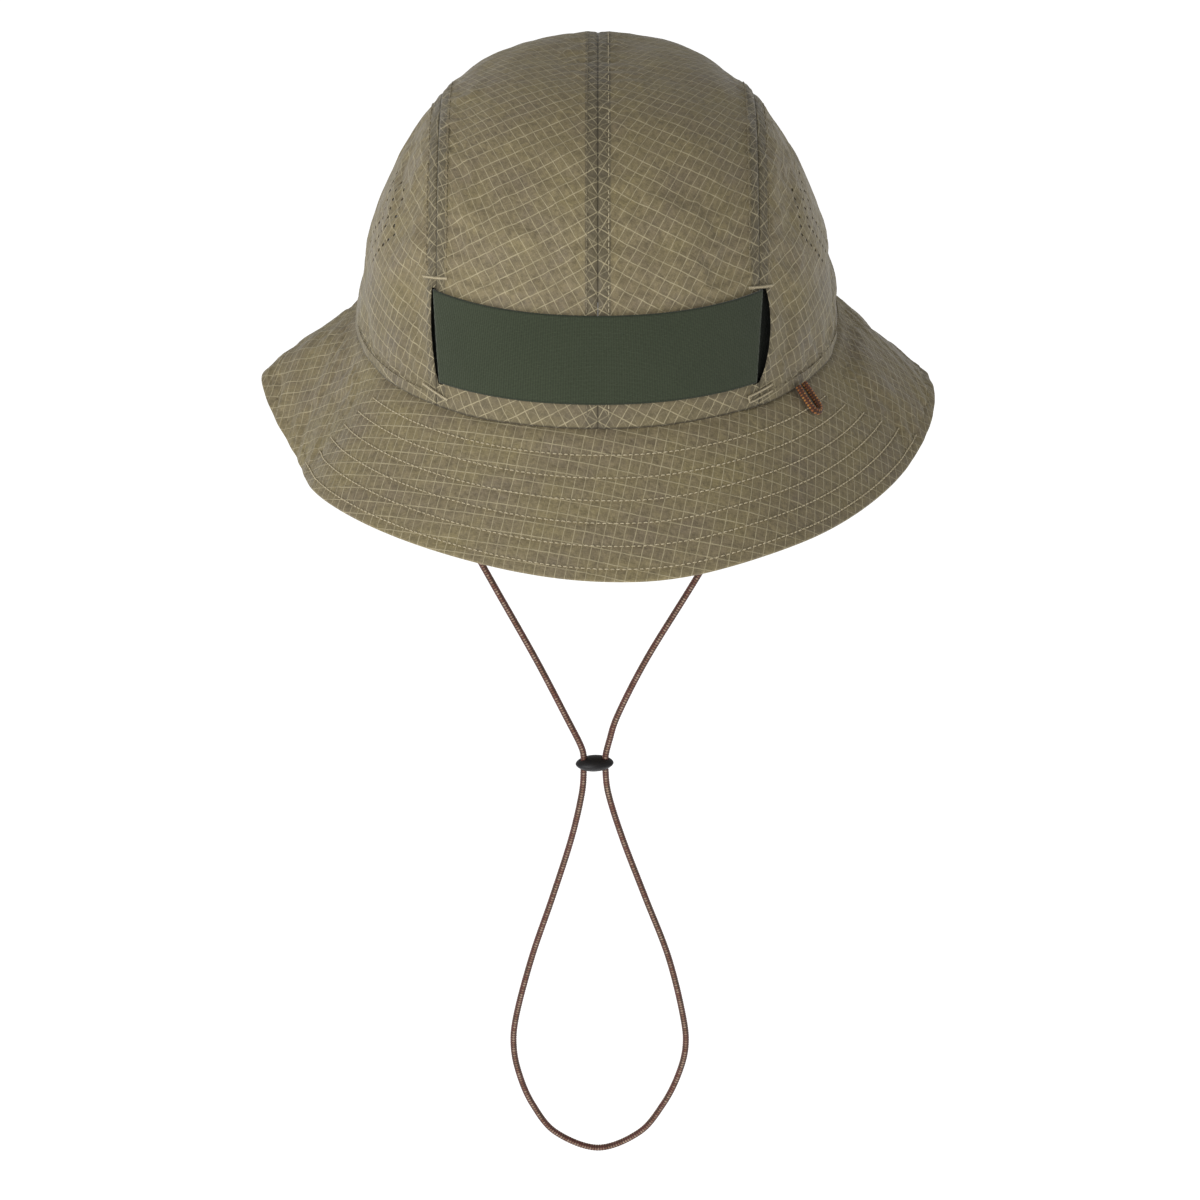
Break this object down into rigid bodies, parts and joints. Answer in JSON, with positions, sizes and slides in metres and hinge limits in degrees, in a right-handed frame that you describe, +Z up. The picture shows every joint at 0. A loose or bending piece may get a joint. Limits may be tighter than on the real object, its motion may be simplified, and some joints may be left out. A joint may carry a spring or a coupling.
{
  "type": "boonie hat",
  "caption": "Soft sun hat with a panelled oval crown, an elastic front band, a drooping brim with a stitched visor, and a chin cord with a sliding stopper.",
  "frame": {"origin": "centre of the head opening, in the plane where the crown meets the brim; a head holds the hat there", "axes": "+Z up through the crown, -Y to the front (the stitched visor), +X to the right in a view from the front"},
  "size_m": [0.2521, 0.2753, 0.4352],
  "materials": {
    "ripstop": "thin crisp ripstop cloth with a woven grid",
    "seam_tape": "plain woven tape",
    "elastic": "matte woven elastic",
    "thread": "sewing thread",
    "stiffener": "non-woven interlining",
    "sweatband": "soft knitted band",
    "label": "satin label, blank",
    "cord": "round braided cord",
    "stopper": "smooth moulded plastic"
  },
  "bodies": {
    "hat": {"crown_centre_left": "ripstop", "crown_centre_right": "ripstop", "crown_side_left": "ripstop", "crown_side_right": "ripstop", "centre_seam_tape": "seam_tape", "left_seam_tape": "seam_tape", "right_seam_tape": "seam_tape", "elastic_band": "elastic", "bar_tack_top_left": "thread", "bar_tack_top_right": "thread", "bar_tack_bottom_left": "thread", "bar_tack_bottom_right": "thread", "brim_top": "ripstop", "brim_underside": "ripstop", "visor_stiffener": "stiffener", "visor_stitch_row_1": "thread", "visor_stitch_row_2": "thread", "visor_stitch_row_3": "thread", "visor_stitch_row_4": "thread", "visor_stitch_row_5": "thread", "visor_stitch_row_6": "thread", "sweatband": "sweatband", "care_label": "label", "cord_tab_left": "sweatband", "cord_tab_right": "sweatband"},
    "hanging_loop": {"hanging_loop": "cord"},
    "chin_cord": {"chin_cord": "cord"},
    "cord_stopper": {"cord_stopper": "stopper"}
  },
  "joints": [
    {"name": "chin_cord_swing", "type": "hinge", "parent": "hat", "child": "chin_cord", "pos_m": [0, -0.037, -0.006], "axis": [1, 0, 0], "range_deg": [-60, 60]},
    {"name": "stopper_slide", "type": "slide", "parent": "chin_cord", "child": "cord_stopper", "axis": [0, 0, 1], "range_m": [-0.08, 0.06], "deforming": ["chin_cord"]},
    {"name": "hanging_loop_lift", "type": "hinge", "parent": "hat", "child": "hanging_loop", "pos_m": [0.0729, -0.0668, 0.0007], "axis": [-0.5381, -0.8429, 0], "range_deg": [0, 100]}
  ]
}
